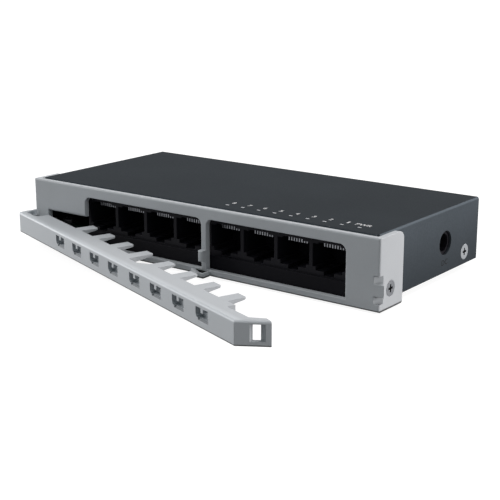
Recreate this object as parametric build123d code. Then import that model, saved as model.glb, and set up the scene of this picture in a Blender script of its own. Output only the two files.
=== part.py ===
from build123d import *
import os
from math import cos, radians, sin

os.makedirs("parts", exist_ok=True)

# Eight port network switch in a folded steel case, with a moulded front bezel
# and a hinged bar that holds the plugs in their ports. Millimetres, +Z up,
# X to the right along the front, Y to the back. The case is drawn from the
# middle of the bezel's lower front edge, and moved to its own frame last.

# Front bezel
bezel_bottom = -0.35
bezel_top = 23.45
bezel_thickness = 2.0
wing_depth = 14.2
wing_corner_radius = 2.75
wing_lower_radius = 0.8
bezel_edge_radius = 0.6

# Bezel windows
window_top = 19.7
window_bottom = 1.9
window_corner_radius = 2.5
right_cheek_width = 12.33
blank_panel_width = 26.48
blank_panel_bottom = 12.0
blank_panel_edge_radius = 0.9
left_leg_width = 6.97
left_window_inset = 1.35
right_window_room = 1.1
mullion_offset = 0.8
mullion_width = 2.0

# Catches for the bar on the bezel
catch_bottom = 4.8
catch_height = 4.0
corner_notch_margin = 2.6
corner_notch_size = 2.23
corner_catch_reach = 1.57
corner_catch_root = 2.7
corner_catch_inset = 2.48
mullion_catch_depth = 2.1
mullion_catch_radius = 0.5
cable_loop_height = 1.65
cable_loop_reach = 3.5
cable_loop_left = 5.9
cable_loop_front_left = 0.4
cable_loop_front_right = 2.4
cable_loop_wall = 1.0

# Hinge between bezel and bar
hinge_outset = 1.52
hinge_y = 0.8
bead_radius = 1.1
bead_clearance = 0.08
knuckle_radius = 2.4
knuckle_height = 6.0
neck_width = 1.2
neck_length = 3.0
neck_angle = 25.0
knuckle_mouth_start = -16.0
knuckle_mouth_end = 115.0
knuckle_mouth_sides = 4
open_angle = 19.912

# Lock bar, drawn along X with its front face at y = 0
bar_bottom = 2.6
bar_height = 7.636
bar_end_inset = 1.38
bar_left_end = -2.6
bar_front_thickness = 2.0
bar_plate_thickness = 1.65
bar_plate_depth = 7.7
bar_plate_start = 7.85
bar_plate_end_inset = 11.3
bar_edge_depth = 4.9
bar_edge_radius = 0.8
bar_lower_edge_radius = 0.4
bite_depth = 2.6
bite_radius = 1.6
hinge_in_bar_x = -1.0
hinge_in_bar_y = 5.91
hook_wall = 1.1
hook_lip_x = -4.35
hook_lip_y = 7.6

# Bar windows and fingers
port_pitch = 13.97
bar_window_offset = 2.49
bar_right_windows_shift = -0.437
bar_window_width = 6.99
bar_window_bottom = 5.47
bar_window_height = 3.28
bar_window_radius = 1.3
bar_window_lip = 0.6
bar_window_back = 1.0
bar_tongue_width = 1.26
bar_tongue_length = 1.35
finger_offset = -0.8
finger_width = 4.9
finger_reach = 14.5
finger_tip_thickness = 0.5
finger_tip_radius = 1.0
mullion_slot_floor = 4.8
mullion_slot_left = 3.95
mullion_slot_right = 1.85
mullion_slot_slant = 3.9
catch_pocket_clearance = 0.35

# Latch ear at the free end of the bar
ear_tip_x = 6.56
ear_tip_y = 8.22
ear_tip_inner_x = 3.59
ear_tip_inner_y = 8.5
ear_root_inner_y = 4.88
ear_hole_middle = 6.6
ear_hole_height = 4.95
ear_hole_flare = 0.1
ear_back_flare = 0.5
ear_mouth_near = 4.4
ear_mouth_far = 8.85
ear_throat_near = 5.1
ear_throat_far = 7.4
ear_throat_depth = 1.4
ear_back_near = 3.8
ear_back_far = 8.7
ear_back_depth = 3.3

# Steel case
sheet = 0.8
wing_clearance = 0.16
case_front = 2.64
case_back = 70.45
case_bottom = 1.55
case_top = 23.78
fold_radius = 0.9
relief_radius = 0.9
pan_clearance = 0.1
pan_lip_height = 5.15
pan_lip_gap = 0.1
pan_flange_height = 8.0
pan_flange_setback = 2.0

# Jack blocks
ports_per_block = 4
block_gap = 0.9
block_end_wall = 1.02
jack_setback = 1.32
jack_depth = 14.3
jack_height = 13.4
port_width = 12.7
port_height = 7.8
port_depth = 12.4
port_sill = 3.6
ledge_width = 10.2
ledge_height = 1.25
keyway_width = 4.0
keyway_height = 1.3
comb_width = 8.4
comb_height = 0.55
jack_post_radius = 1.6
jack_post_length = 2.6
jack_post_setback = 7.0

# Port contacts
contact_pitch = 1.02
contact_count = 8
contact_width = 0.45
contact_thickness = 0.3
contact_front = 2.9
contact_drop = 1.65
contact_tip_depth = 8.9
contact_tip_drop = 3.6
contact_tail_gap = 0.3
contact_tail_length = 0.6
contact_roof_gap = 0.1

# Circuit board and what stands on it
board_thickness = 1.6
board_gap = 1.95
board_side_margin = 2.22
board_front_margin = 1.3
board_back_margin = 2.15
hole_clearance = 0.1
tail_hole = 0.75
board_screw_inset_x = 3.9
board_screw_inset_y = 4.3
standoff_radius = 2.75
screw_radius = 1.45
thread_clearance = 0.08
board_screw_head_radius = 2.6
board_screw_head_height = 1.7
board_screw_head_edge = 0.57

# Status lights
light_pitch = 6.607
light_count = 9
first_light_offset = 4.6
light_y = 7.39
light_slot_width = 1.4
light_slot_depth = 0.6
light_pipe_clearance = 0.06
light_pipe_thickness = 0.9
light_pipe_back = 12.5
light_tie_depth = 2.0
led_width = 1.2
led_depth = 0.8
led_height = 0.7
led_gap = 0.3

# Magnetics, chip and the supply parts
magnetics_width = 26.5
magnetics_depth = 12.0
magnetics_height = 5.4
magnetics_setback = 2.0
magnetics_chamfer = 0.7
chip_size = 17.0
chip_height = 1.4
chip_x = -6.0
chip_y = 50.5
sink_size = 24.0
sink_base = 1.5
sink_fin_height = 6.5
sink_fin_thickness = 0.9
sink_fin_count = 7
capacitor_radius = 3.15
capacitor_height = 7.7
capacitor_setback = 9.12
capacitor_edge = 0.3
capacitor_pitch = 7.6
capacitor_count = 3
inductor_size = 7.0
inductor_height = 4.2
inductor_spacing = 12.0
inductor_pitch = 10.5
crystal_length = 11.0
crystal_width = 4.6
crystal_height = 3.5
crystal_spacing = 20.0
regulator_width = 6.5
regulator_depth = 6.1
regulator_height = 2.3
regulator_spacing = 13.0
memory_width = 5.3
memory_depth = 5.3
memory_height = 1.9
memory_spacing = 16.0

# Power inlet
inlet_y = 46.45
inlet_z = 12.07
inlet_hole_radius = 4.2
inlet_bore_radius = 3.15
inlet_bore_depth = 10.5
inlet_pin_radius = 1.0
inlet_pin_recess = 3.2
inlet_seat_radius = 1.7
inlet_seat_height = 0.6
inlet_body_length = 14.2
inlet_body_width = 9.2
inlet_body_top = 4.9
inlet_spring_width = 2.4
inlet_spring_thickness = 0.4

# Side screws
bezel_screw_y = 6.77
bezel_screw_z = 6.15
bezel_screw_head_radius = 2.55
bezel_screw_length = 4.2
case_screw_y = 61.05
case_screw_z = 5.88
case_screw_head_radius = 2.7
case_screw_length = 2.6
screw_head_height = 1.2
screw_head_clearance = 0.15
cross_length = 2.7
cross_width = 0.8
cross_depth = 0.9
screw_hole_depth = 8.4

# Rubber feet
foot_radius = 4.6
foot_taper = 0.5
foot_height = 2.45
foot_inset = 22.22
foot_front = 14.0
foot_back = 60.0

# Places worked out from the sizes above
block_width = (ports_per_block - 1) * port_pitch + port_width + 2 * block_end_wall
windows_width = 2 * block_width + block_gap + right_window_room - left_window_inset
bezel_width = blank_panel_width + windows_width + right_cheek_width
half_bezel = bezel_width / 2
half_case = half_bezel - bezel_thickness - wing_clearance
blocks_left = blank_panel_width - left_window_inset - half_bezel
blocks_middle = blocks_left + block_width + block_gap / 2
block_centres = [blocks_middle + side * (block_width + block_gap) / 2 for side in (-1, 1)]
mullion_centre = blocks_middle + mullion_offset
hinge_x = -half_bezel - hinge_outset
catch_top = catch_bottom + catch_height
bar_top = bar_bottom + bar_height
plate_bottom = bar_top - bar_plate_thickness
bar_start_x = hinge_x - hinge_in_bar_x
bar_length = half_bezel - bar_end_inset - bar_start_x
bar_plate_end = bar_length - bar_plate_end_inset
mullion_in_bar = mullion_centre - bar_start_x
pan_half_width = half_case - sheet - pan_clearance
pan_front = bezel_thickness + pan_lip_gap
floor_top = case_bottom + sheet
board_bottom = floor_top + board_gap
board_top = board_bottom + board_thickness
board_half_width = half_case - sheet - board_side_margin
board_front = pan_front + sheet + board_front_margin
board_back = case_back - sheet - board_back_margin
jack_face = bezel_thickness + jack_setback
jack_back = jack_face + jack_depth
jack_top = board_top + jack_height
port_bottom = board_top + port_sill
port_top = port_bottom + port_height
tail_y = jack_back + contact_tail_gap
light_back_y = light_y + light_pipe_back
light_xs = [mullion_centre + first_light_offset + light_pitch * i for i in range(light_count)]
board_screws = [
    (side * (board_half_width - board_screw_inset_x), y)
    for side in (-1, 1)
    for y in (board_front + board_screw_inset_y, board_back - board_screw_inset_y)
]
inlet_face = half_case - sheet - pan_clearance
capacitor_x = inlet_face - inlet_body_length - capacitor_setback
inductor_x = capacitor_x - inductor_spacing
regulator_x = inductor_x - regulator_spacing
crystal_x = chip_x - crystal_spacing
memory_x = crystal_x - memory_spacing
foot_x = half_case - foot_inset


def block(x0, x1, y0, y1, z0, z1):
    """Block between two corners."""
    middle = Pos((x0 + x1) / 2, (y0 + y1) / 2, (z0 + z1) / 2)
    return middle * Box(x1 - x0, y1 - y0, z1 - z0)


def upright(points, bottom, top):
    """Upright prism over a plan outline."""
    outline = make_face(Polyline(*points, close=True))
    return extrude(Pos(0, 0, bottom) * outline, top - bottom, dir=(0, 0, 1))


def post(x, y, radius, bottom, top):
    """Upright round post."""
    return Pos(x, y, (bottom + top) / 2) * Cylinder(radius, top - bottom)


def port_centres(block_centre):
    """X of each port in one jack block."""
    first = block_centre - (ports_per_block - 1) * port_pitch / 2
    return [first + port_pitch * i for i in range(ports_per_block)]


def contact_xs(port_centre):
    """X of each contact in one port."""
    first = port_centre - (contact_count - 1) * contact_pitch / 2
    return [first + contact_pitch * i for i in range(contact_count)]


def bezel_tray():
    """Front plate with a wing bent back at each side."""
    tray = block(-half_bezel, half_bezel, 0, wing_depth, bezel_bottom, bezel_top)
    back = tray.edges().filter_by(Axis.X).group_by(Axis.Y)[-1].sort_by(Axis.Z)
    tray = fillet(back[-1], wing_corner_radius)
    back = tray.edges().filter_by(Axis.X).group_by(Axis.Y)[-1].sort_by(Axis.Z)
    tray = fillet(back[0], wing_lower_radius)
    tray = fillet(tray.faces().sort_by(Axis.Y)[0].edges(), bezel_edge_radius)
    inner = half_bezel - bezel_thickness
    return tray - block(-inner, inner, bezel_thickness, wing_depth, bezel_bottom, bezel_top)


def front_bezel():
    """Bezel with both windows, its catches, hinge bead and cable loop."""
    bezel = bezel_tray()
    bezel -= bezel_windows()
    bezel -= corner_notch(1)
    bezel -= corner_notch(-1)
    bezel += corner_catch()
    bezel += hinge_bead()
    bezel += mullion_catch()
    bezel += cable_loop()
    for side in (-1, 1):
        bezel -= screw_seat(side * half_bezel, bezel_screw_y, bezel_screw_z, bezel_screw_head_radius)
    return bezel


def bezel_windows():
    """The right window, and the left one that runs on under the blank panel."""
    mullion_left = mullion_centre - mullion_width / 2
    mullion_right = mullion_centre + mullion_width / 2
    panel_right = -half_bezel + blank_panel_width
    right = block(
        mullion_right, half_bezel - right_cheek_width,
        0, bezel_thickness, window_bottom, window_top,
    )
    left = block(panel_right, mullion_left, 0, bezel_thickness, window_bottom, window_top)
    right = fillet(right.edges().filter_by(Axis.Y).group_by(Axis.Z)[-1], window_corner_radius)
    left = fillet(left.edges().filter_by(Axis.Y).group_by(Axis.Z)[-1], window_corner_radius)
    under_panel = block(
        -half_bezel + left_leg_width, panel_right,
        0, bezel_thickness, window_bottom, blank_panel_bottom,
    )
    return right + left + under_panel + panel_edge_rounding()


def panel_edge_rounding():
    """Waste that rounds the lower front edge of the blank panel."""
    radius = blank_panel_edge_radius
    left = -half_bezel + left_leg_width
    right = -half_bezel + blank_panel_width
    waste = block(left, right, 0, radius, blank_panel_bottom, blank_panel_bottom + radius)
    axis = Location(((left + right) / 2, radius, blank_panel_bottom + radius), (0, 90, 0))
    return waste - axis * Cylinder(radius, right - left)


def corner_notch(side):
    """Bevel across a front corner where the bar's end wraps round it."""
    corner = side * half_bezel
    outline = [
        (corner, 0),
        (corner, corner_notch_size),
        (corner - side * corner_notch_size, 0),
    ]
    return upright(outline, catch_bottom - corner_notch_margin, catch_top + corner_notch_margin)


def corner_catch():
    """Wedge on the right corner that the bar's ear snaps over."""
    root = half_bezel - corner_catch_inset
    outline = [
        (root, 0),
        (half_bezel + corner_catch_reach, 0),
        (half_bezel, corner_catch_root),
        (half_bezel - bezel_thickness / 2, corner_catch_root),
        (root, bezel_thickness / 2),
    ]
    return upright(outline, catch_bottom, catch_top)


def hinge_bead():
    """Round bead that the bar turns on, with its neck to the left corner."""
    bead = post(hinge_x, hinge_y, bead_radius, catch_bottom, catch_top)
    neck = block(0, neck_length, -neck_width / 2, neck_width / 2, catch_bottom, catch_top)
    return bead + Location((hinge_x, hinge_y, 0), (0, 0, neck_angle)) * neck


def mullion_catch():
    """Rounded block on the mullion that locates the middle of the bar."""
    catch = block(
        mullion_centre - mullion_width / 2, mullion_centre + mullion_width / 2,
        -mullion_catch_depth, 0, catch_bottom, catch_top,
    )
    front = catch.faces().sort_by(Axis.Y)[0]
    return fillet(front.edges(), mullion_catch_radius)


def cable_loop():
    """Loop at the foot of the mullion, to tie a cable to."""
    left = mullion_centre - cable_loop_left
    right = mullion_centre + cable_loop_front_right
    front_left = mullion_centre - cable_loop_front_left
    outer = [(left, 0), (front_left, -cable_loop_reach), (right, -cable_loop_reach), (right, 0)]
    inner = [
        (left + 2 * cable_loop_wall, 0),
        (front_left + cable_loop_wall / 2, cable_loop_wall - cable_loop_reach),
        (right - cable_loop_wall, cable_loop_wall - cable_loop_reach),
        (right - cable_loop_wall, 0),
    ]
    top = bezel_bottom + cable_loop_height
    return upright(outer, bezel_bottom, top) - upright(inner, bezel_bottom, top)


def bar_windows_x():
    """X of each bar window, in the bar's own frame."""
    offset = bar_window_offset - bar_start_x
    left = [x + offset for x in port_centres(block_centres[0])]
    right = [x + offset + bar_right_windows_shift for x in port_centres(block_centres[1])]
    return left + right


def bar_rail():
    """Angle section with the latch ear, its front edges rounded."""
    front = block(bar_left_end, bar_length, 0, bar_front_thickness, bar_bottom, bar_top)
    plan = [
        (bar_left_end, 0),
        (bar_length, 0),
        (bar_length, bar_edge_depth),
        (bar_plate_end, bar_edge_depth),
        (bar_plate_end, bar_plate_depth),
        (bar_plate_start, bar_plate_depth),
        (bar_plate_start, bite_depth),
        (bar_left_end, bite_depth),
    ]
    plate = upright(plan, plate_bottom, bar_top)
    inner_corner = plate.edges().filter_by(Axis.Z).sort_by_distance(
        (bar_plate_start, bite_depth, plate_bottom)
    )[0]
    plate = fillet(inner_corner, bite_radius)
    rail = front + plate + latch_ear()
    rounded = [
        (bar_length / 2, 0, bar_top),
        (bar_length + ear_tip_x / 2, ear_tip_y / 2, bar_top),
        (bar_left_end, 0, (bar_bottom + bar_top) / 2),
    ]
    edges = [rail.edges().sort_by_distance(place)[0] for place in rounded]
    rail = fillet(edges, bar_edge_radius)
    lower = [
        (bar_length / 2, 0, bar_bottom),
        (bar_length + ear_tip_x / 2, ear_tip_y / 2, bar_bottom),
    ]
    edges = [rail.edges().sort_by_distance(place)[0] for place in lower]
    return fillet(edges, bar_lower_edge_radius)


def bar_window(x):
    """Opening for a plug's latch, with a tongue hanging from its upper edge."""
    left = x - bar_window_width / 2
    right = x + bar_window_width / 2
    top = bar_window_bottom + bar_window_height
    opening = block(left, right, 0, bar_front_thickness, bar_window_bottom, top)
    lower_left = opening.edges().filter_by(Axis.Y).group_by(Axis.Z)[0].sort_by(Axis.X)[0]
    opening = fillet(lower_left, bar_window_radius)
    opening -= block(
        x - bar_tongue_width / 2, x + bar_tongue_width / 2,
        0, bar_front_thickness, top - bar_tongue_length, top,
    )
    return opening + window_lip(left + bar_window_radius, right)


def window_lip(left, right):
    """Slope cut into the front of a bar window's lower edge."""
    profile = [
        (0, bar_window_bottom - bar_window_lip),
        (0, bar_window_bottom),
        (bar_window_lip, bar_window_bottom),
    ]
    slope = Plane.YZ * make_face(Polyline(*profile, close=True))
    return extrude(Pos(left, 0, 0) * slope, right - left, dir=(1, 0, 0))


def window_pocket(x):
    """Wall behind a bar window that closes it at the back."""
    reach = bar_window_width / 2 + bar_window_back
    back = bar_front_thickness + bar_window_back
    bottom = bar_window_bottom - bar_window_back
    return block(x - reach, x + reach, bar_front_thickness, back, bottom, plate_bottom)


def bar_finger(x):
    """Tapered finger that reaches into a port over the plug's latch."""
    left = x + finger_offset - finger_width / 2
    profile = [
        (bar_edge_depth, plate_bottom),
        (bar_plate_depth, plate_bottom),
        (finger_reach, bar_top - finger_tip_thickness),
        (finger_reach, bar_top),
        (bar_edge_depth, bar_top),
    ]
    side = Plane.YZ * make_face(Polyline(*profile, close=True))
    finger = extrude(Pos(left, 0, 0) * side, finger_width, dir=(1, 0, 0))
    tip = finger.edges().filter_by(Axis.Z).group_by(Axis.Y)[-1]
    return fillet(tip.sort_by(Axis.X)[-1], finger_tip_radius)


def mullion_slot():
    """Notch in the bar's top plate that clears the mullion."""
    middle_finger_end = bar_windows_x()[ports_per_block - 1] + finger_offset + finger_width / 2
    outline = [
        (middle_finger_end, bar_plate_depth),
        (mullion_in_bar - mullion_slot_left, mullion_slot_floor),
        (mullion_in_bar + mullion_slot_right, mullion_slot_floor),
        (mullion_in_bar + mullion_slot_right + mullion_slot_slant, bar_plate_depth),
    ]
    return upright(outline, plate_bottom, bar_top)


def catch_pocket():
    """Pocket under the bar's top plate for the catch on the mullion."""
    reach = mullion_width / 2 + catch_pocket_clearance
    return block(
        mullion_in_bar - reach, mullion_in_bar + reach, bar_front_thickness, mullion_slot_floor,
        plate_bottom, catch_top + catch_pocket_clearance,
    )


def knuckle_wedge():
    """Sector that opens the knuckle towards the bezel."""
    reach = 2 * knuckle_radius
    turn = (knuckle_mouth_end - knuckle_mouth_start) / knuckle_mouth_sides
    angles = [radians(knuckle_mouth_start + turn * i) for i in range(knuckle_mouth_sides + 1)]
    rim = [(reach * cos(a), reach * sin(a)) for a in angles]
    return upright([(0, 0)] + rim, bar_bottom, bar_bottom + knuckle_height)


def hinge_knuckle():
    """Open knuckle that snaps over the hinge bead."""
    knuckle = post(0, 0, knuckle_radius, bar_bottom, bar_bottom + knuckle_height)
    return Pos(hinge_in_bar_x, hinge_in_bar_y, 0) * (knuckle - knuckle_wedge())


def knuckle_bore():
    """Bore of the knuckle, with running room for the bead."""
    bore = post(0, 0, bead_radius + bead_clearance, bar_bottom, bar_bottom + knuckle_height)
    return Pos(hinge_in_bar_x, hinge_in_bar_y, 0) * bore


def hook_arm():
    """Wall from the bar's left end back past the knuckle to a thumb lip."""
    outer_x = hinge_in_bar_x - knuckle_radius
    outline = [
        (bar_left_end, bar_edge_radius),
        (bar_left_end + bar_front_thickness, bar_edge_radius),
        (bar_left_end + bar_front_thickness, bar_front_thickness),
        (outer_x + hook_wall, hinge_in_bar_y - knuckle_radius / 2),
        (outer_x + hook_wall, hinge_in_bar_y),
        (hook_lip_x + hook_wall, hook_lip_y),
        (hook_lip_x, hook_lip_y),
        (outer_x, hinge_in_bar_y),
        (outer_x, hinge_in_bar_y - knuckle_radius),
    ]
    return upright(outline, bar_bottom, bar_top)


def latch_ear():
    """Slanted ear at the free end of the bar."""
    outline = [
        (bar_length - bar_front_thickness, 0),
        (bar_length, 0),
        (bar_length + ear_tip_x, ear_tip_y),
        (bar_length + ear_tip_inner_x, ear_tip_inner_y),
        (bar_length, ear_root_inner_y),
        (bar_length - bar_front_thickness, bar_front_thickness),
    ]
    return upright(outline, bar_bottom, bar_top)


def ear_section(near, far, height, depth):
    """Rectangle across the ear's hole at a depth behind the ear's outer face."""
    along = Vector(ear_tip_x, ear_tip_y, 0).normalized()
    inward = Vector(-along.Y, along.X, 0)
    start = Vector(bar_length, 0, ear_hole_middle) + along * (near + far) / 2 + inward * depth
    return Plane(start, x_dir=along, z_dir=inward) * Rectangle(far - near, height)


def ear_hole():
    """Hourglass hole in the ear that the corner catch snaps into."""
    mouth_height = ear_hole_height + 2 * ear_hole_flare
    back_height = ear_hole_height + 2 * ear_back_flare
    mouth = ear_section(ear_mouth_near, ear_mouth_far, mouth_height, 0)
    throat = ear_section(ear_throat_near, ear_throat_far, ear_hole_height, ear_throat_depth)
    back = ear_section(ear_back_near, ear_back_far, back_height, ear_back_depth)
    return loft([mouth, throat]) + loft([throat, back])


def cable_lock_bar():
    """Bar that keeps the plugs in, swung open as it rests."""
    bar = bar_rail()
    bar -= mullion_slot()
    bar -= catch_pocket()
    for x in bar_windows_x():
        bar += bar_finger(x)
        bar -= bar_window(x)
        bar += window_pocket(x)
    bar += hinge_knuckle()
    bar += hook_arm()
    bar -= knuckle_bore()
    bar -= ear_hole()
    swing = Location((hinge_x, hinge_y, 0), (0, 0, -open_angle))
    return swing * Pos(-hinge_in_bar_x, -hinge_in_bar_y, 0) * bar


def side_axis(side, x, y, z):
    """Frame on a side wall whose Z points out of the case."""
    return Location((x, y, z), (0, 90 * side, 0))


def screw_cone(head_radius, grow):
    """Countersunk head with its face at z = 0, opened out by a clearance."""
    middle = Pos(0, 0, -screw_head_height / 2)
    return middle * Cone(screw_radius + grow, head_radius + grow, screw_head_height)


def screw_seat(x, y, z, head_radius):
    """Countersink and clearance hole in a side wall."""
    side = 1 if x > 0 else -1
    shank = Cylinder(screw_radius + screw_head_clearance, screw_hole_depth)
    seat = screw_cone(head_radius, screw_head_clearance) + Pos(0, 0, -screw_hole_depth / 2) * shank
    return side_axis(side, x, y, z) * seat


def cross_recess(depth):
    """Cross recess for a screwdriver."""
    cross = Rectangle(cross_length, cross_width) + Rectangle(cross_width, cross_length)
    return extrude(cross, -depth)


def side_screws(x, y, z, head_radius, length):
    """Countersunk screws, one in each side wall."""
    head = screw_cone(head_radius, 0)
    shank = Pos(0, 0, -length / 2) * Cylinder(screw_radius, length)
    screw = head + shank - cross_recess(cross_depth)
    return [side_axis(side, side * x, y, z) * screw for side in (-1, 1)]


def top_cover():
    """Folded cover: top and both sides in one sheet."""
    cover = block(-half_case, half_case, case_front, case_back, case_bottom, case_top)
    folds = cover.edges().filter_by(Axis.Y).group_by(Axis.Z)[-1]
    cover = fillet(folds, fold_radius)
    inner = half_case - sheet
    cover -= block(-inner, inner, case_front, case_back, case_bottom, case_top - sheet)
    inlet = Location((half_case, inlet_y, inlet_z), (0, 90, 0))
    cover -= inlet * Cylinder(inlet_hole_radius, 4 * sheet)
    for side in (-1, 1):
        cover -= screw_seat(side * half_bezel, bezel_screw_y, bezel_screw_z, bezel_screw_head_radius)
        cover -= screw_seat(side * half_case, case_screw_y, case_screw_z, case_screw_head_radius)
        fold_x = side * (half_case - sheet / 2)
        cover -= post(fold_x, case_front, relief_radius, case_top - 2 * sheet, case_top)
    for x in light_xs:
        cover -= Pos(x, light_y, case_top) * Box(light_slot_width, light_slot_depth, 4 * sheet)
    return cover


def base_pan():
    """Folded pan: floor, front lip, back wall and a flange along each side."""
    pan = block(-pan_half_width, pan_half_width, pan_front, case_back, case_bottom, floor_top)
    pan += block(
        -pan_half_width, pan_half_width,
        pan_front, pan_front + sheet, case_bottom, case_bottom + pan_lip_height,
    )
    pan += block(
        -pan_half_width, pan_half_width,
        case_back - sheet, case_back, case_bottom, case_top - sheet - pan_clearance,
    )
    flange_front = pan_front + pan_flange_setback
    for side in (-1, 1):
        edges = sorted((side * pan_half_width, side * (pan_half_width - sheet)))
        pan += block(*edges, flange_front, case_back, case_bottom, case_bottom + pan_flange_height)
        pan -= screw_seat(side * half_bezel, bezel_screw_y, bezel_screw_z, bezel_screw_head_radius)
        pan -= screw_seat(side * half_case, case_screw_y, case_screw_z, case_screw_head_radius)
    return pan - inlet_relief()


def inlet_relief():
    """Gap in the right flange where the power inlet stands."""
    half = inlet_body_width / 2 + hole_clearance
    return block(
        pan_half_width - sheet, pan_half_width,
        inlet_y - half, inlet_y + half, board_bottom, case_bottom + pan_flange_height,
    )


def port_cavity(x):
    """Stepped opening of one port: plug space, ledge, latch keyway and comb."""
    cavity = block(
        x - port_width / 2, x + port_width / 2,
        jack_face, jack_face + port_depth, port_bottom, port_top,
    )
    ledge_bottom = port_bottom - ledge_height
    cavity += block(
        x - ledge_width / 2, x + ledge_width / 2,
        jack_face, jack_face + port_depth, ledge_bottom, port_bottom,
    )
    cavity += block(
        x - keyway_width / 2, x + keyway_width / 2,
        jack_face, jack_face + port_depth, ledge_bottom - keyway_height, ledge_bottom,
    )
    cavity += block(
        x - comb_width / 2, x + comb_width / 2,
        jack_face, jack_back, port_top, port_top + comb_height,
    )
    return cavity


def jack_posts(block_centre, radius, bottom, top):
    """Locating posts under a jack block, or their holes in the board."""
    y = jack_face + jack_post_setback
    return [post(block_centre + side * port_pitch, y, radius, bottom, top) for side in (-1, 1)]


def port_block(block_centre):
    """Moulded housing with its ports side by side."""
    left = block_centre - block_width / 2
    housing = block(left, left + block_width, jack_face, jack_back, board_top, jack_top)
    for x in port_centres(block_centre):
        housing -= port_cavity(x)
    for peg in jack_posts(block_centre, jack_post_radius, board_top - jack_post_length, board_top):
        housing += peg
    return housing


def port_contact(x):
    """Spring contact: sloped tip, bend, run along the roof and tail to the board."""
    roof = port_top + comb_height - contact_thickness / 2 - contact_roof_gap
    front = jack_face + contact_front
    tip_y = jack_face + contact_tip_depth
    path = Polyline(
        (tip_y, roof - contact_tip_drop),
        (front, roof - contact_drop),
        (front, roof),
        (tail_y, roof),
        (tail_y, board_bottom - contact_tail_length),
    )
    strip = Plane.YZ * trace(path, contact_thickness)
    return extrude(Pos(x - contact_width / 2, 0, 0) * strip, contact_width, dir=(1, 0, 0))


def port_contacts(block_centre):
    """All the contacts of one jack block."""
    return [port_contact(x) for centre in port_centres(block_centre) for x in contact_xs(centre)]


def circuit_board():
    """Board with holes for screws, jack posts and contact tails."""
    board = block(
        -board_half_width, board_half_width, board_front, board_back, board_bottom, board_top
    )
    for x, y in board_screws:
        board -= post(x, y, screw_radius + hole_clearance, board_bottom, board_top)
    for centre in block_centres:
        for hole in jack_posts(centre, jack_post_radius + hole_clearance, board_bottom, board_top):
            board -= hole
        for port in port_centres(centre):
            for x in contact_xs(port):
                board -= Pos(x, tail_y, board_top) * Box(tail_hole, tail_hole, 4 * board_thickness)
    return board


def board_standoffs():
    """Threaded standoffs on the pan's floor, one under each board screw."""
    standoffs = []
    for x, y in board_screws:
        body = post(x, y, standoff_radius, floor_top, board_bottom)
        bore = post(x, y, screw_radius + thread_clearance, floor_top, board_bottom)
        standoffs.append(body - bore)
    return standoffs


def fasten_board():
    """Pan head screws that hold the board to its standoffs."""
    screws = []
    for x, y in board_screws:
        head = post(x, y, board_screw_head_radius, board_top, board_top + board_screw_head_height)
        head = fillet(head.edges().group_by(Axis.Z)[-1], board_screw_head_edge)
        recess = Pos(x, y, board_top + board_screw_head_height) * cross_recess(cross_depth)
        screws.append(head + post(x, y, screw_radius, floor_top, board_top) - recess)
    return screws


def light_pipe():
    """Clear moulding that carries each status light to its slot in the cover."""
    pipe_half = light_slot_width / 2 - light_pipe_clearance
    tip_half = light_slot_depth / 2 - light_pipe_clearance
    arm_top = jack_top + light_pipe_thickness
    tie_back = light_back_y - light_tie_depth
    pipe = block(
        light_xs[0] - pipe_half, light_xs[-1] + pipe_half,
        tie_back - light_tie_depth, tie_back, jack_top, arm_top,
    )
    foot = light_back_y + light_pipe_thickness
    for x in light_xs:
        left = x - pipe_half
        right = x + pipe_half
        tip_front = light_y - tip_half
        pipe += block(left, right, tip_front, foot, jack_top, arm_top)
        pipe += block(left, right, tip_front, light_y + tip_half, jack_top, case_top)
        pipe += block(left, right, light_back_y, foot, board_top + led_height + led_gap, arm_top)
    return pipe


def status_leds():
    """Small light on the board under each leg of the light pipe."""
    y = light_back_y + light_pipe_thickness / 2
    return [on_board(x, y, led_width, led_depth, led_height) for x in light_xs]


def magnetics():
    """Isolation transformer modules, one behind each pair of ports."""
    front = light_back_y + light_pipe_thickness + magnetics_setback
    modules = []
    for centre in block_centres:
        for side in (-1, 1):
            x = centre + side * port_pitch
            module = block(
                x - magnetics_width / 2, x + magnetics_width / 2,
                front, front + magnetics_depth, board_top, board_top + magnetics_height,
            )
            modules.append(chamfer(module.faces().sort_by(Axis.Z)[-1].edges(), magnetics_chamfer))
    return modules


def on_board(x, y, width, depth, height):
    """Rectangular component standing on the board."""
    return Pos(x, y, board_top + height / 2) * Box(width, depth, height)


def heat_sink():
    """Finned sink on the switch chip."""
    bottom = board_top + chip_height
    sink = Pos(chip_x, chip_y, bottom + sink_base / 2) * Box(sink_size, sink_size, sink_base)
    fin_bottom = bottom + sink_base
    pitch = (sink_size - sink_fin_thickness) / (sink_fin_count - 1)
    for i in range(sink_fin_count):
        x = chip_x - sink_size / 2 + pitch * i
        sink += block(
            x, x + sink_fin_thickness, chip_y - sink_size / 2, chip_y + sink_size / 2,
            fin_bottom, fin_bottom + sink_fin_height,
        )
    return sink


def electrolytic_capacitors():
    """Upright can capacitors by the power inlet."""
    cans = []
    for i in range(capacitor_count):
        y = inlet_y + capacitor_pitch * (i - (capacitor_count - 1) / 2)
        can = post(capacitor_x, y, capacitor_radius, board_top, board_top + capacitor_height)
        cans.append(fillet(can.edges().group_by(Axis.Z)[-1], capacitor_edge))
    return cans


def power_inductors():
    """Shielded inductors of the supply."""
    ys = [inlet_y + side * inductor_pitch / 2 for side in (-1, 1)]
    return [on_board(inductor_x, y, inductor_size, inductor_size, inductor_height) for y in ys]


def inlet_axis():
    """Frame at the mouth of the power inlet, Z pointing out of the case."""
    return Location((inlet_face, inlet_y, inlet_z), (0, 90, 0))


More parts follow.
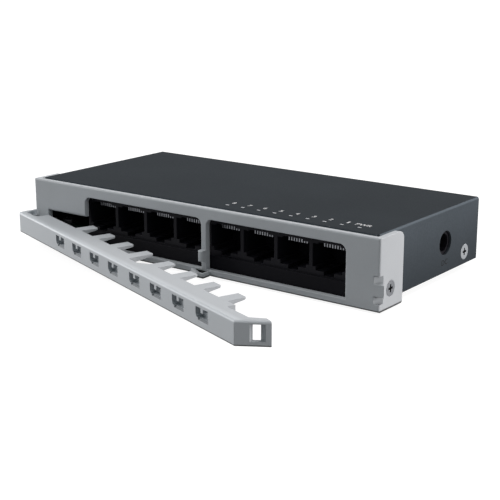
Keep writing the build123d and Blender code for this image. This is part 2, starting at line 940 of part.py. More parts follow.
def inlet_spring(height):
    """Contact leaf along the lower side of the inlet's bore, or the groove it lies in."""
    length = inlet_bore_depth - inlet_pin_recess
    bottom = inlet_z - inlet_bore_radius - inlet_spring_thickness
    half = inlet_spring_width / 2
    return block(
        inlet_face - inlet_bore_depth, inlet_face - inlet_bore_depth + length,
        inlet_y - half, inlet_y + half, bottom, bottom + height,
    )


def dc_jack():
    """Housing of the power inlet with its round bore."""
    half = inlet_body_width / 2
    housing = block(
        inlet_face - inlet_body_length, inlet_face,
        inlet_y - half, inlet_y + half, board_top, inlet_z + inlet_body_top,
    )
    bore = Pos(0, 0, -inlet_bore_depth / 2) * Cylinder(inlet_bore_radius, inlet_bore_depth)
    return housing - inlet_axis() * bore - inlet_spring(2 * inlet_spring_thickness)


def dc_jack_pin():
    """Centre pin of the power inlet on its seat."""
    length = inlet_bore_depth - inlet_pin_recess
    pin = Pos(0, 0, -inlet_bore_depth + length / 2) * Cylinder(inlet_pin_radius, length)
    pin = fillet(pin.edges().group_by(Axis.Z)[-1], inlet_pin_radius / 2)
    seat_middle = -inlet_bore_depth + inlet_seat_height / 2
    pin += Pos(0, 0, seat_middle) * Cylinder(inlet_seat_radius, inlet_seat_height)
    return inlet_axis() * pin


def rubber_feet():
    """Tapered foot near each corner of the floor."""
    middle = case_bottom - foot_height / 2
    foot = Cone(foot_radius - foot_taper, foot_radius, foot_height)
    foot = fillet(foot.edges().group_by(Axis.Z)[0], foot_taper / 2)
    return [Pos(side * foot_x, y, middle) * foot for side in (-1, 1) for y in (foot_front, foot_back)]


pieces = {
    "front_bezel": [front_bezel()],
    "cable_lock_bar": [cable_lock_bar()],
    "top_cover": [top_cover()],
    "base_pan": [base_pan()],
    "port_block_left": [port_block(block_centres[0])],
    "port_block_right": [port_block(block_centres[1])],
    "port_contacts_left": port_contacts(block_centres[0]),
    "port_contacts_right": port_contacts(block_centres[1]),
    "circuit_board": [circuit_board()],
    "board_standoffs": board_standoffs(),
    "board_screws": fasten_board(),
    "light_pipe": [light_pipe()],
    "status_leds": status_leds(),
    "magnetics": magnetics(),
    "switch_chip": [on_board(chip_x, chip_y, chip_size, chip_size, chip_height)],
    "heat_sink": [heat_sink()],
    "electrolytic_capacitors": electrolytic_capacitors(),
    "power_inductors": power_inductors(),
    "clock_crystal": [on_board(crystal_x, chip_y, crystal_width, crystal_length, crystal_height)],
    "voltage_regulator": [
        on_board(regulator_x, inlet_y, regulator_width, regulator_depth, regulator_height)
    ],
    "memory_chip": [on_board(memory_x, chip_y, memory_width, memory_depth, memory_height)],
    "dc_jack": [dc_jack()],
    "dc_jack_pin": [dc_jack_pin()],
    "dc_jack_spring": [inlet_spring(inlet_spring_thickness)],
    "bezel_screws": side_screws(
        half_bezel, bezel_screw_y, bezel_screw_z, bezel_screw_head_radius, bezel_screw_length
    ),
    "cover_screws": side_screws(
        half_case, case_screw_y, case_screw_z, case_screw_head_radius, case_screw_length
    ),
    "rubber_feet": rubber_feet(),
}

# The frame's origin is under the middle of the whole part, on the surface it stands on
extent = Compound([solid for solids in pieces.values() for solid in solids]).bounding_box()
home = Pos(-extent.center().X, -extent.center().Y, -extent.min.Z)
print("moved by", home.position)
for name, solids in pieces.items():
    moved = [home * solid for solid in solids]
    shape = moved[0] if len(moved) == 1 else Compound(moved)
    export_step(shape, f"parts/{name}.step")
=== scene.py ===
import math

import bpy
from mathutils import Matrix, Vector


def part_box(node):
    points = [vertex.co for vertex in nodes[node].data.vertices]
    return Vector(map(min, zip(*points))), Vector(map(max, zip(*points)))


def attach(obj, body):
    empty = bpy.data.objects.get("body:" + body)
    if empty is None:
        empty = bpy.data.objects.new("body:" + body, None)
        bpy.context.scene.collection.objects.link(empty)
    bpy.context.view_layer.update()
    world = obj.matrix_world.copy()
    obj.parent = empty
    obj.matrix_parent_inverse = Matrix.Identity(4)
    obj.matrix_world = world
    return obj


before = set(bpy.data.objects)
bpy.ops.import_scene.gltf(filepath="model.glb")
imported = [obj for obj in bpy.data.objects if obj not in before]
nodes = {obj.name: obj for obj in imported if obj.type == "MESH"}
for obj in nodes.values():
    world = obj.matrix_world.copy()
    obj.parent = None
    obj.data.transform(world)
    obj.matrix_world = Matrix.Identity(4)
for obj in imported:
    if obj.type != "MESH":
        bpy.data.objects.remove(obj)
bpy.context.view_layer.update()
MM = 0.001

# Where masks start and end: noise, an eased edge and open sky, then how far a surface faces up or aside
noise_range = (0.3, 0.7)
eased_edge_range = (0.82, 0.995)
hollow_range = (0.25, 0.7)
leaves_upright = (0.1, 0.5)
nears_level = (0.8, 0.99)
level_top = (0.9, 1.0)
level_bar_top = (0.85, 0.95)
lip_leaves_upright = (0.3, 0.5)
lip_nears_level = (0.8, 0.95)
square_to_width = (0.5, 0.8)
turns_aside = (0.15, 0.35)
smoother_by = 0.06
rougher_by = 0.08

# Places that the shading follows, where the part rests in the frame
bezel_front_y = -6.81 * MM
bezel_lower_edge = (1.0 * MM, 1.25 * MM)
bar_lower_edge = (3.9 * MM, 4.12 * MM)
hinge_place = (-76.27874 * MM, -6.00959 * MM, 0.0)
bar_open_angle = math.radians(19.912)
bar_front_to_hinge = 5.91 * MM
highlight_band_start = 1.0 * MM
highlight_band_end = 2.8 * MM
lip_top = (6.5 * MM, 6.7 * MM)
lip_shade_tint = (0.94, 1.0, 1.04)
loop_corner = (4.37126 * MM, bezel_front_y, 2.18 * MM)
loop_slope_normal = (0.53, 0.848, 0.0)
loop_hole_width = 5.35 * MM
loop_margin = 0.05 * MM
loop_wall_margin = 0.08 * MM
side_bottom = 3.0 * MM
side_top = 22.0 * MM
cross_depths = (0.02 * MM, 0.12 * MM)
painted_cross_shade = 0.04
cross_metallic = 0.2


# Materials

def linear(red, green, blue):
    """The linear colour of an 8-bit display colour."""
    channels = [c / 255 for c in (red, green, blue)]
    return [c / 12.92 if c <= 0.04045 else ((c + 0.055) / 1.055) ** 2.4 for c in channels] + [1.0]


def scaled(colour, factor):
    return [min(1.0, c * factor) for c in colour[:3]] + [1.0]


class Finish:
    """A procedural material in the object's own coordinates, in metres."""

    def __init__(self, name, roughness=0.5, metallic=0.0, specular=0.5):
        self.material = bpy.data.materials.new(name)
        self.material.use_nodes = True
        self.tree = self.material.node_tree
        self.bsdf = self.tree.nodes["Principled BSDF"]
        self.bsdf.inputs["Metallic"].default_value = metallic
        self.bsdf.inputs["Roughness"].default_value = roughness
        self.bsdf.inputs["Specular IOR Level"].default_value = specular
        coordinates = self.add("ShaderNodeTexCoord")
        self.place = coordinates.outputs["Object"]
        self.direction = coordinates.outputs["Normal"]

    def add(self, kind, inputs=None, **settings):
        node = self.tree.nodes.new(kind)
        for key, value in settings.items():
            setattr(node, key, value)
        for key, value in (inputs or {}).items():
            if isinstance(value, bpy.types.NodeSocket):
                self.tree.links.new(value, node.inputs[key])
            else:
                node.inputs[key].default_value = value
        return node

    def link(self, source, name):
        self.tree.links.new(source, self.bsdf.inputs[name])

    def noise(self, size, detail=3.0, stretch=(1, 1, 1)):
        """Noise whose features are about size metres across, longer along an axis with a small stretch."""
        place = self.add("ShaderNodeMapping", {"Vector": self.place, "Scale": stretch}).outputs["Vector"]
        return self.add("ShaderNodeTexNoise", {"Vector": place, "Scale": 1 / size, "Detail": detail}).outputs["Fac"]

    def fade(self, factor, low, high, start=noise_range[0], end=noise_range[1]):
        """A factor from start to end, as a colour from low to high."""
        node = self.add("ShaderNodeValToRGB", {"Fac": factor})
        for element, position, colour in zip(node.color_ramp.elements, (start, end), (low, high)):
            element.position = position
            element.color = colour
        return node.outputs["Color"]

    def span(self, factor, low, high, start=noise_range[0], end=noise_range[1]):
        """A factor from start to end, as a value from low to high."""
        settings = {"Value": factor, "From Min": start, "From Max": end, "To Min": low, "To Max": high}
        return self.add("ShaderNodeMapRange", settings).outputs["Result"]

    def mix(self, factor, a, b, blend="MIX"):
        node = self.add("ShaderNodeMix", data_type="RGBA", blend_type=blend)
        for key, value in ((0, factor), (6, a), (7, b)):
            if isinstance(value, bpy.types.NodeSocket):
                self.tree.links.new(value, node.inputs[key])
            else:
                node.inputs[key].default_value = value
        return node.outputs[2]

    def rounded(self, radius):
        """The surface's direction with its edges eased, and a mask of those edges."""
        eased = self.add("ShaderNodeBevel", {"Radius": radius}, samples=6).outputs["Normal"]
        plain = self.add("ShaderNodeNewGeometry").outputs["Normal"]
        dot = self.add("ShaderNodeVectorMath", {0: eased, 1: plain}, operation="DOT_PRODUCT").outputs["Value"]
        return eased, self.span(dot, 1.0, 0.0, *eased_edge_range)

    def calc(self, operation, a, b=0.0):
        return self.add("ShaderNodeMath", {0: a, 1: b}, operation=operation).outputs["Value"]

    def axis(self, vector, name):
        """The X, Y or Z of a vector."""
        return self.add("ShaderNodeSeparateXYZ", {0: vector}).outputs[name]

    def along(self, origin, direction):
        """How far the place lies from an origin, along a direction."""
        place = self.add("ShaderNodeVectorMath", {0: self.place, 1: origin}, operation="SUBTRACT").outputs["Vector"]
        settings = {0: place, 1: direction}
        return self.add("ShaderNodeVectorMath", settings, operation="DOT_PRODUCT").outputs["Value"]

    def facing_up(self):
        """How far the surface faces up, from -1 to 1."""
        return self.axis(self.direction, "Z")

    def facing_side(self):
        """How far the surface faces left or right, from 0 to 1."""
        return self.calc("ABSOLUTE", self.axis(self.direction, "X"))

    def bends(self):
        """A mask of the surface that turns from a level face to an upright one."""
        level = self.calc("ABSOLUTE", self.facing_up())
        off_upright = self.span(level, 0.0, 1.0, *leaves_upright)
        off_level = self.span(level, 1.0, 0.0, *nears_level)
        return self.calc("MULTIPLY", off_upright, off_level)

    def hollows(self, size):
        """A mask of the narrow hollows up to size metres across."""
        settings = {"Distance": size}
        open_sky = self.add("ShaderNodeAmbientOcclusion", settings, samples=8, only_local=True).outputs["AO"]
        return self.span(open_sky, 1.0, 0.0, *hollow_range)

    def shade(self, mask, factor, tint=(1.0, 1.0, 1.0)):
        """Multiplies the colour by a factor where the mask is 1."""
        times = [factor * t for t in tint] + [1]
        self.tone = self.mix(mask, self.tone, self.mix(1.0, self.tone, times, "MULTIPLY"))
        self.link(self.tone, "Base Color")

    def bump(self, height, depth, normal=None):
        settings = {"Height": height, "Distance": depth, "Strength": 1.0}
        if normal is not None:
            settings["Normal"] = normal
        self.link(self.add("ShaderNodeBump", settings).outputs["Normal"], "Normal")


def surface(name, colour, roughness, metallic=0.0, specular=0.5, mottle=0.05, mottle_size=0.02, grain=0.06,
            grain_size=0.0004, grain_depth=0.00001, edge=1.2, edge_radius=0.0003, streak=(1, 1, 1),
            bend_highlight=0.0, hollow_shade=0.0, hollow_reach=4 * MM):
    """A moulded, painted or bare metal surface: colour that drifts and a fine grain, with a painted highlight on
    eased edges and bends, and painted shade in hollows."""
    f = Finish(name, roughness, metallic, specular)
    drift = f.noise(mottle_size)
    tone = f.fade(drift, scaled(colour, 1 - mottle), scaled(colour, 1 + mottle))
    fine = f.noise(grain_size, 4.0, streak)
    speckle = f.fade(fine, [1 - grain] * 3 + [1], [1.0] * 4)
    tone = f.mix(1.0, tone, speckle, "MULTIPLY")
    # Painted highlight: eased edges are paled by the edge factor
    eased, eased_edges = f.rounded(edge_radius)
    tone = f.mix(eased_edges, tone, scaled(colour, edge))
    # Painted highlight on bends between level and upright faces
    if bend_highlight:
        tone = f.mix(f.bends(), tone, scaled(colour, bend_highlight))
    # Painted shade in narrow hollows, darkened by the hollow factor
    if hollow_shade:
        tone = f.mix(f.hollows(hollow_reach), tone, scaled(colour, 1 - hollow_shade))
    f.link(tone, "Base Color")
    f.link(f.span(fine, roughness - smoother_by, roughness + rougher_by), "Roughness")
    f.bump(fine, grain_depth, eased)
    f.tone = tone
    return f


def painted_shade_on_top(f, factor):
    """Painted shade on the level top face, darker than the upright sides."""
    f.shade(f.span(f.facing_up(), 0.0, 1.0, *level_top), factor)


def painted_shade_under_edge(f, factor, dark_below, plain_above):
    """Painted shade on the rounded edge that turns under the part, darker than its faces."""
    f.shade(f.span(f.axis(f.place, "Z"), 1.0, 0.0, dark_below, plain_above), factor)


def painted_shade_on_window_lips(f, factor):
    """Painted shade on the sloping lips under the bar's windows, darker than its front."""
    level = f.facing_up()
    off_upright = f.span(level, 0.0, 1.0, *lip_leaves_upright)
    off_level = f.span(level, 1.0, 0.0, *lip_nears_level)
    low = f.span(f.axis(f.place, "Z"), 1.0, 0.0, *lip_top)
    f.shade(f.calc("MULTIPLY", f.calc("MULTIPLY", off_upright, off_level), low), factor, lip_shade_tint)


def painted_front_edge_highlight(f, factor):
    """Painted highlight on the top of the bar next to its rounded front edge, in a pale band where the moulding
    starts to turn.
    """
    up = f.span(f.facing_up(), 0.0, 1.0, *level_bar_top)
    to_the_back = (math.sin(bar_open_angle), math.cos(bar_open_angle), 0.0)
    depth = f.along(hinge_place, to_the_back)
    near = f.span(depth, 1.0, 0.0, highlight_band_start - bar_front_to_hinge, highlight_band_end - bar_front_to_hinge)
    f.shade(f.calc("MULTIPLY", up, near), factor)


def painted_shade_in_loop_hole(f, factor):
    """Painted shade in the hole of the cable loop under the mullion, whose walls get next to no light."""
    place = f.add("ShaderNodeVectorMath", {0: f.place, 1: loop_corner}, operation="SUBTRACT").outputs["Vector"]
    inside = f.calc("GREATER_THAN", f.along(loop_corner, loop_slope_normal), -loop_margin)
    for name, limit in (("X", loop_hole_width), ("Y", loop_wall_margin), ("Z", 0.0)):
        inside = f.calc("MULTIPLY", inside, f.calc("LESS_THAN", f.axis(place, name), limit))
    f.shade(inside, factor)


def painted_shade_on_contact_sides(f, factor):
    """Painted shade on faces cut square to the port's width, darker than the plated faces."""
    f.shade(f.span(f.facing_side(), 0.0, 1.0, *square_to_width), factor)


def painted_fold_highlight(f, factor):
    """Painted highlight on the folds between the top and the two sides, paler than the faces."""
    sides = f.span(f.facing_side(), 0.0, 1.0, *turns_aside)
    f.shade(f.calc("MULTIPLY", f.bends(), sides), factor)


def painted_shade_toward_floor(f, top_factor, bottom_factor):
    """Painted shade on upright sides, darker toward the floor where they gather less light."""
    upright = f.span(f.calc("ABSOLUTE", f.facing_up()), 1.0, 0.0, *leaves_upright)
    factor = f.span(f.axis(f.place, "Z"), bottom_factor, top_factor, side_bottom, side_top)
    shaded = f.add("ShaderNodeVectorMath", {0: f.tone, "Scale": factor}, operation="SCALE").outputs["Vector"]
    f.tone = f.mix(upright, f.tone, shaded)
    f.link(f.tone, "Base Color")


def screw_finish(name, node, colour, roughness):
    """Bare screw heads, one in each side, with painted shade in the cross below the face."""
    f = surface(name, colour, roughness, 1.0, mottle=0.08, mottle_size=0.002, grain=0.14,
                grain_size=0.0002, edge=1.2, edge_radius=0.0001)
    low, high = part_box(node)
    from_middle = f.calc("ABSOLUTE", f.calc("SUBTRACT", f.axis(f.place, "X"), (low.x + high.x) / 2))
    depth = f.calc("SUBTRACT", (high.x - low.x) / 2, from_middle)
    below = f.span(depth, 0.0, 1.0, *cross_depths)
    f.link(f.mix(below, f.tone, scaled(colour, painted_cross_shade)), "Base Color")
    f.link(f.span(below, 1.0, cross_metallic, 0.0, 1.0), "Metallic")
    return f


bezel_plastic = surface("bezel_plastic", linear(179, 184, 188), roughness=0.5, specular=0.2, mottle=0.03,
                        grain=0.04, grain_size=0.00035, grain_depth=0.000006, edge=1.3, edge_radius=0.0004,
                        hollow_shade=0.8)
painted_shade_in_loop_hole(bezel_plastic, 0.05)
painted_shade_under_edge(bezel_plastic, 0.1, *bezel_lower_edge)
bar_plastic = surface("bar_plastic", linear(182, 187, 191), roughness=0.5, specular=0.2, mottle=0.03,
                      grain=0.04, grain_size=0.00035, grain_depth=0.000006, edge=1.06, edge_radius=0.00015,
                      bend_highlight=1.32, hollow_shade=0.12)
painted_front_edge_highlight(bar_plastic, 1.2)
painted_shade_under_edge(bar_plastic, 0.22, *bar_lower_edge)
painted_shade_on_window_lips(bar_plastic, 0.24)
case_paint = surface("case_paint", linear(73, 80, 86), roughness=0.65, specular=0.02, mottle=0.06,
                     mottle_size=0.03, grain=0.16, grain_size=0.0006, grain_depth=0.00002, edge=1.1,
                     edge_radius=0.0003, hollow_shade=0.6)
painted_fold_highlight(case_paint, 1.6)
painted_shade_toward_floor(case_paint, 1.08, 0.62)
painted_shade_on_top(case_paint, 0.4)
pan_paint = surface("pan_paint", linear(20, 20, 24), roughness=0.6, specular=0.04, mottle=0.08,
                    mottle_size=0.02, grain=0.16, grain_size=0.0005, grain_depth=0.00002, edge=1.6,
                    edge_radius=0.0003)
jack_plastic = surface("jack_plastic", linear(21, 21, 26), roughness=0.5, specular=0.08, mottle=0.1,
                       grain=0.12, grain_depth=0.000008, edge=1.5, edge_radius=0.00015)
module_plastic = surface("module_plastic", linear(30, 31, 33), roughness=0.55, mottle=0.08, grain=0.15,
                         edge=1.4, edge_radius=0.0002)
clear_plastic = surface("clear_plastic", linear(206, 210, 216), roughness=0.35, mottle=0.04, grain=0.05,
                        edge_radius=0.0002)
led_lens = surface("led_lens", linear(214, 226, 206), roughness=0.2, mottle=0.03, grain=0.03,
                   edge_radius=0.0002)
contact_metal = surface("contact_metal", linear(140, 142, 147), roughness=0.42, metallic=1.0, mottle=0.06,
                        mottle_size=0.002, grain=0.1, grain_size=0.0002, edge_radius=0.00008,
                        streak=(1, 0.12, 1))
painted_shade_on_contact_sides(contact_metal, 0.12)
pin_metal = surface("pin_metal", linear(180, 180, 178), roughness=0.3, metallic=1.0, mottle=0.05,
                    grain=0.08, edge_radius=0.0001, streak=(0.15, 1, 1))
standoff_metal = surface("standoff_metal", linear(182, 182, 178), roughness=0.34, metallic=1.0,
                         mottle=0.06, grain=0.1, edge_radius=0.0002, streak=(1, 1, 0.2))
board_screw_metal = surface("board_screw_metal", linear(70, 71, 74), roughness=0.5, metallic=1.0,
                            mottle=0.06, grain=0.1, edge_radius=0.0001)
bezel_screw_metal = screw_finish("bezel_screw_metal", "bezel_screws", linear(118, 121, 125), roughness=0.45)
cover_screw_metal = screw_finish("cover_screw_metal", "cover_screws", linear(146, 150, 154), roughness=0.45)
sink_aluminium = surface("sink_aluminium", linear(164, 167, 172), roughness=0.4, metallic=1.0,
                         mottle=0.06, grain=0.1, edge_radius=0.0002, streak=(1, 0.1, 1))
crystal_can = surface("crystal_can", linear(190, 190, 188), roughness=0.28, metallic=1.0, mottle=0.05,
                      grain=0.08, edge_radius=0.0002, streak=(0.2, 1, 1))
inductor_ferrite = surface("inductor_ferrite", linear(52, 51, 54), roughness=0.62, mottle=0.15,
                           mottle_size=0.003, grain=0.2, grain_depth=0.00002, edge_radius=0.0003)
foot_rubber = surface("foot_rubber", linear(36, 37, 39), roughness=0.75, specular=0.2, mottle=0.1,
                      mottle_size=0.006, grain=0.2, grain_size=0.0005, grain_depth=0.00003,
                      edge_radius=0.0004)


tracks_per_metre = 420.0
track_edge = (0.44, 0.56)
fields_per_metre = 110.0
field_edge = (0.4, 0.5)


def board_finish():
    """Green solder mask over copper tracks, with bare fibre at the cut edges."""
    f = Finish("board_laminate", 0.4, specular=0.2)
    mask, track = linear(12, 46, 32), linear(24, 66, 46)
    flow = f.add("ShaderNodeTexWave", {"Vector": f.place, "Scale": tracks_per_metre, "Distortion": 1.2, "Detail": 0.0,
                                       "Detail Scale": 1.0}, bands_direction="X").outputs["Fac"]
    fields = f.add("ShaderNodeTexVoronoi", {"Vector": f.place, "Scale": fields_per_metre}, distance="CHEBYCHEV")
    lines = f.fade(flow, mask, track, *track_edge)
    patch = f.fade(fields.outputs["Distance"], [0] * 3 + [1], [1] * 4, *field_edge)
    tone = f.mix(patch, lines, mask)
    cloud = f.noise(0.012)
    tone = f.mix(f.span(cloud, 0.0, 0.25), tone, scaled(mask, 0.6))
    eased, eased_edges = f.rounded(0.0002)
    f.link(f.mix(eased_edges, tone, linear(150, 140, 96)), "Base Color")
    f.link(f.span(cloud, 0.28, 0.42), "Roughness")
    f.bump(flow, 0.00002, eased)
    return f


sleeve_edge = (0.85, 0.95)


def capacitor_finish():
    """A glossy shrunk sleeve, bare aluminium on the vented top."""
    f = Finish("capacitor_sleeve", 0.3)
    facing = f.add("ShaderNodeNewGeometry").outputs["Normal"]
    top = f.span(f.axis(facing, "Z"), 0.0, 1.0, *sleeve_edge)
    drift = f.noise(0.004)
    sleeve = f.fade(drift, linear(20, 26, 40), linear(28, 36, 54))
    can = f.fade(f.noise(0.0005), linear(150, 151, 154), linear(190, 191, 193))
    f.link(f.mix(top, sleeve, can), "Base Color")
    f.link(top, "Metallic")
    f.link(f.span(drift, 0.22, 0.36), "Roughness")
    f.bump(drift, 0.00003)
    return f


thin_ink = 0.82
thin_ink_range = (0.35, 0.65)


def ink_finish(name, colour):
    """Screen printed ink, slightly uneven at the edge of the paint's grain."""
    f = Finish(name, 0.6, specular=0.1)
    thin = f.noise(0.0004, 2.0)
    f.link(f.fade(thin, scaled(colour, thin_ink), colour, *thin_ink_range), "Base Color")
    f.link(f.span(thin, 0.5, 0.62), "Roughness")
    f.bump(thin, 0.000008)
    return f


board_laminate = board_finish()
capacitor_sleeve = capacitor_finish()
white_ink = ink_finish("white_ink", linear(226, 228, 230))
dark_ink = ink_finish("dark_ink", linear(8, 9, 10))

finishes = {
    "front_bezel": bezel_plastic,
    "cable_lock_bar": bar_plastic,
    "top_cover": case_paint,
    "base_pan": pan_paint,
    "port_block_left": jack_plastic,
    "port_block_right": jack_plastic,
    "port_contacts_left": contact_metal,
    "port_contacts_right": contact_metal,
    "circuit_board": board_laminate,
    "board_standoffs": standoff_metal,
    "board_screws": board_screw_metal,
    "light_pipe": clear_plastic,
    "status_leds": led_lens,
    "magnetics": module_plastic,
    "switch_chip": module_plastic,
    "heat_sink": sink_aluminium,
    "electrolytic_capacitors": capacitor_sleeve,
    "power_inductors": inductor_ferrite,
    "clock_crystal": crystal_can,
    "voltage_regulator": module_plastic,
    "memory_chip": module_plastic,
    "dc_jack": jack_plastic,
    "dc_jack_pin": pin_metal,
    "dc_jack_spring": contact_metal,
    "bezel_screws": bezel_screw_metal,
    "cover_screws": cover_screw_metal,
    "rubber_feet": foot_rubber,
}
for name, finish in finishes.items():
    piece = nodes[name]
    piece.data.materials.clear()
    piece.data.materials.append(finish.material)


# Corner of the bezel

shoulder_size = 2.23 * MM
shoulder_radius = 0.6 * MM
shoulder_bottom = 9.8 * MM
shoulder_top = 12.3 * MM
shoulder_steps = 6


def bezel_shoulder():
    """The bezel's left corner above the hinge knuckle, rounded like its other edges."""
    side_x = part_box("bezel_screws")[0].x
    outline = [(shoulder_size, 0.0)]
    for step in range(shoulder_steps + 1):
        turn = math.radians(90 * step / shoulder_steps)
        outline.append((shoulder_radius * (1 - math.sin(turn)), shoulder_radius * (1 - math.cos(turn))))
    outline.append((0.0, shoulder_size))
    count = len(outline)
    points = [(side_x + x, bezel_front_y + y, z) for z in (shoulder_bottom, shoulder_top) for x, y in outline]
    faces = [tuple(reversed(range(count))), tuple(range(count, 2 * count))]
    for i in range(count):
        after = (i + 1) % count
        faces.append((i, after, count + after, count + i))
    mesh = bpy.data.meshes.new("bezel_shoulder")
    mesh.from_pydata(points, [], faces)
    piece = bpy.data.objects.new("bezel_shoulder", mesh)
    bpy.context.scene.collection.objects.link(piece)
    mesh.materials.append(bezel_plastic.material)
    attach(piece, "chassis")


bezel_shoulder()


# Printed marks

ink_thickness = 0.04 * MM
port_count = 8
digit_height = 1.9 * MM
digit_width = 1.2 * MM
narrow_digit_width = 0.6 * MM
digit_offset = 0.35 * MM
digit_y = 4.1 * MM
power_mark_height = 2.0 * MM
power_mark_width = 5.8 * MM
power_mark_offset = -0.35 * MM
power_mark_y = 3.9 * MM
inlet_mark_height = 1.9 * MM
inlet_mark_width = 4.2 * MM
inlet_mark_z = 6.2 * MM
light_slot_width = 1.28 * MM
side_turn = (math.pi / 2, 0, math.pi / 2)


def printed(name, text, height, width, centre, turn, finish):
    """Flat printed characters of a real height and width, centred on a point of the case."""
    curve = bpy.data.curves.new(name, "FONT")
    curve.body = text
    curve.extrude = 0.01  # any thickness does, because the mesh is scaled to the ink's
    flat = bpy.data.objects.new(name, curve)
    bpy.context.scene.collection.objects.link(flat)
    bpy.context.view_layer.update()
    mesh = bpy.data.meshes.new_from_object(flat.evaluated_get(bpy.context.evaluated_depsgraph_get()))
    bpy.data.objects.remove(flat)
    xs = [v.co.x for v in mesh.vertices]
    ys = [v.co.y for v in mesh.vertices]
    zs = [v.co.z for v in mesh.vertices]
    low = (min(xs), min(ys), min(zs))
    size = (max(xs) - min(xs), max(ys) - min(ys), max(zs) - min(zs))
    wanted = (width, height, ink_thickness)
    for v in mesh.vertices:
        for i in range(3):
            v.co[i] = ((v.co[i] - low[i]) / size[i] - 0.5) * wanted[i]
    mark = bpy.data.objects.new(name, mesh)
    bpy.context.scene.collection.objects.link(mark)
    mark.rotation_euler = turn
    mark.location = centre
    mesh.materials.append(finish.material)
    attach(mark, "chassis")


cover_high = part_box("top_cover")[1]
light_low, light_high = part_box("light_pipe")
jack_low, jack_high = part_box("dc_jack")
first_light_x = light_low.x + light_slot_width / 2
power_light_x = light_high.x - light_slot_width / 2
light_pitch = (power_light_x - first_light_x) / port_count
for index in range(port_count):
    digit = str(port_count - index)
    width = narrow_digit_width if digit == "1" else digit_width
    place = (first_light_x + digit_offset + light_pitch * index, digit_y, cover_high.z)
    printed("mark_port_" + digit, digit, digit_height, width, place, (0, 0, 0), white_ink)
power_place = (power_light_x + power_mark_offset, power_mark_y, cover_high.z)
printed("mark_power", "PWR", power_mark_height, power_mark_width, power_place, (0, 0, 0), white_ink)
inlet_place = (cover_high.x, (jack_low.y + jack_high.y) / 2, inlet_mark_z)
printed("mark_inlet", "DC", inlet_mark_height, inlet_mark_width, inlet_place, side_turn, dark_ink)


# Floor, light and camera

floor_size = 4.0
floor_colour = linear(128, 128, 128)
floor_darkest = 0.985
floor_glow = 0.88
glow_distances = (0.2, 1.2)
sky_level = 0.15
sky_tint = (0.8, 0.94, 1.0, 1.0)
near_white = (1.0, 0.975, 0.97)
warm_white = (1.0, 0.94, 0.92)


def stage_finish(name, colour, glow):
    """A matte floor that glows white to the eye alone: by glow at the part, where its shadow shows, and
    fully from some way off."""
    f = Finish(name, 0.9)
    cloud = f.noise(0.3, 2.0)
    f.link(f.fade(cloud, scaled(colour, floor_darkest), colour), "Base Color")
    path = f.add("ShaderNodeLightPath")
    seen = f.calc("MAXIMUM", path.outputs["Is Camera Ray"], path.outputs["Is Glossy Ray"])
    seen = f.calc("MAXIMUM", seen, path.outputs["Is Transmission Ray"])
    f.bsdf.inputs["Emission Color"].default_value = (1, 1, 1, 1)
    away = f.add("ShaderNodeVectorMath", {0: f.place}, operation="LENGTH").outputs["Value"]
    f.link(f.calc("MULTIPLY", seen, f.span(away, glow, 1.0, *glow_distances)), "Emission Strength")
    return f


def floor_piece(size):
    mesh = bpy.data.meshes.new("floor")
    corners = [(-size, -size, 0), (size, -size, 0), (size, size, 0), (-size, size, 0)]
    mesh.from_pydata(corners, [], [(0, 1, 2, 3)])
    piece = bpy.data.objects.new("floor", mesh)
    bpy.context.scene.collection.objects.link(piece)
    mesh.materials.append(stage_finish("floor", floor_colour, floor_glow).material)


def lamp(name, azimuth, elevation, distance, size, level, colour):
    """A soft round lamp, in degrees from the front and from level, and in metres. A level of 1
    shows a white surface at the part's middle that faces it as white."""
    light = bpy.data.lights.new(name, "AREA")
    light.shape = "DISK"
    light.size = size
    light.energy = level * math.pi ** 2 * distance ** 2
    light.color = colour
    holder = bpy.data.objects.new(name, light)
    bpy.context.scene.collection.objects.link(holder)
    a, e = math.radians(azimuth), math.radians(elevation)
    holder.location = (distance * math.cos(e) * math.sin(a), -distance * math.cos(e) * math.cos(a),
                       distance * math.sin(e))
    holder.rotation_euler = (math.pi / 2 - e, 0, a)


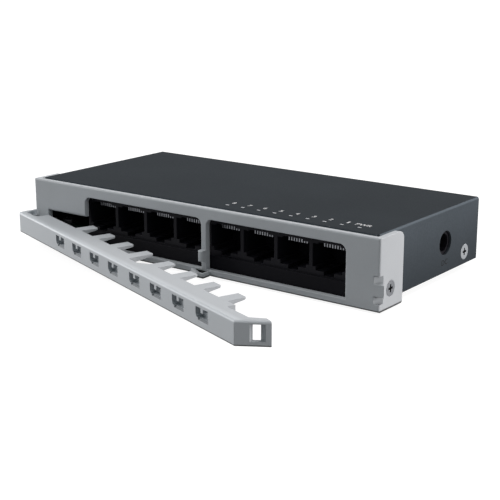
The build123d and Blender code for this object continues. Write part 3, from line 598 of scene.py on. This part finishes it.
def surroundings(level):
    """A white studio, seen as white and lighting the part at a level of its own."""
    world = bpy.data.worlds.new("studio")
    bpy.context.scene.world = world
    world.use_nodes = True
    tree = world.node_tree
    back = tree.nodes["Background"]
    path = tree.nodes.new("ShaderNodeLightPath")
    seen = path.outputs["Is Camera Ray"]
    for name in ("Is Glossy Ray", "Is Transmission Ray"):
        either = tree.nodes.new("ShaderNodeMath")
        either.operation = "MAXIMUM"
        tree.links.new(seen, either.inputs[0])
        tree.links.new(path.outputs[name], either.inputs[1])
        seen = either.outputs["Value"]
    tint = tree.nodes.new("ShaderNodeMix")
    tint.data_type = "RGBA"
    tree.links.new(seen, tint.inputs[0])
    tint.inputs[6].default_value = sky_tint
    tint.inputs[7].default_value = (1.0, 1.0, 1.0, 1.0)
    tree.links.new(tint.outputs[2], back.inputs["Color"])
    strength = tree.nodes.new("ShaderNodeMapRange")
    tree.links.new(seen, strength.inputs["Value"])
    strength.inputs["To Min"].default_value = level
    strength.inputs["To Max"].default_value = 1.0
    tree.links.new(strength.outputs["Result"], back.inputs["Strength"])


floor_piece(floor_size)
surroundings(sky_level)
lamp("left_lamp", azimuth=-76, elevation=16, distance=1.3, size=0.58, level=0.94, colour=near_white)
lamp("right_lamp", azimuth=111, elevation=16, distance=0.8, size=0.4, level=0.67, colour=warm_white)
lamp("fill_lamp", azimuth=84, elevation=14, distance=1.2, size=0.4, level=0.14, colour=near_white)
lamp("back_lamp", azimuth=165, elevation=34, distance=1.2, size=0.5, level=0.45, colour=warm_white)
lamp("top_lamp", azimuth=0, elevation=88, distance=1.0, size=0.8, level=0.3, colour=warm_white)

# The camera, as fitted to straight edges of the photograph: degrees, millimetres of lens, metres
camera_azimuth = 37.105
camera_elevation = 15.168
camera_roll = -0.042
camera_place = (0.251651, -0.302340, 0.113230)
camera_lens = 83.40
camera_sensor = 36
camera_near = 0.01
camera_data = bpy.data.cameras.new("camera")
camera_data.sensor_width = camera_sensor
camera_data.lens = camera_lens
camera_data.clip_start = camera_near
camera = bpy.data.objects.new("camera", camera_data)
bpy.context.scene.collection.objects.link(camera)
camera.location = camera_place
camera.rotation_mode = "XYZ"
camera.rotation_euler = (math.radians(90 - camera_elevation), 0, math.radians(camera_azimuth))
camera.rotation_euler.rotate_axis("Z", math.radians(camera_roll))
bpy.context.scene.camera = camera
bpy.context.scene.view_settings.view_transform = "Standard"
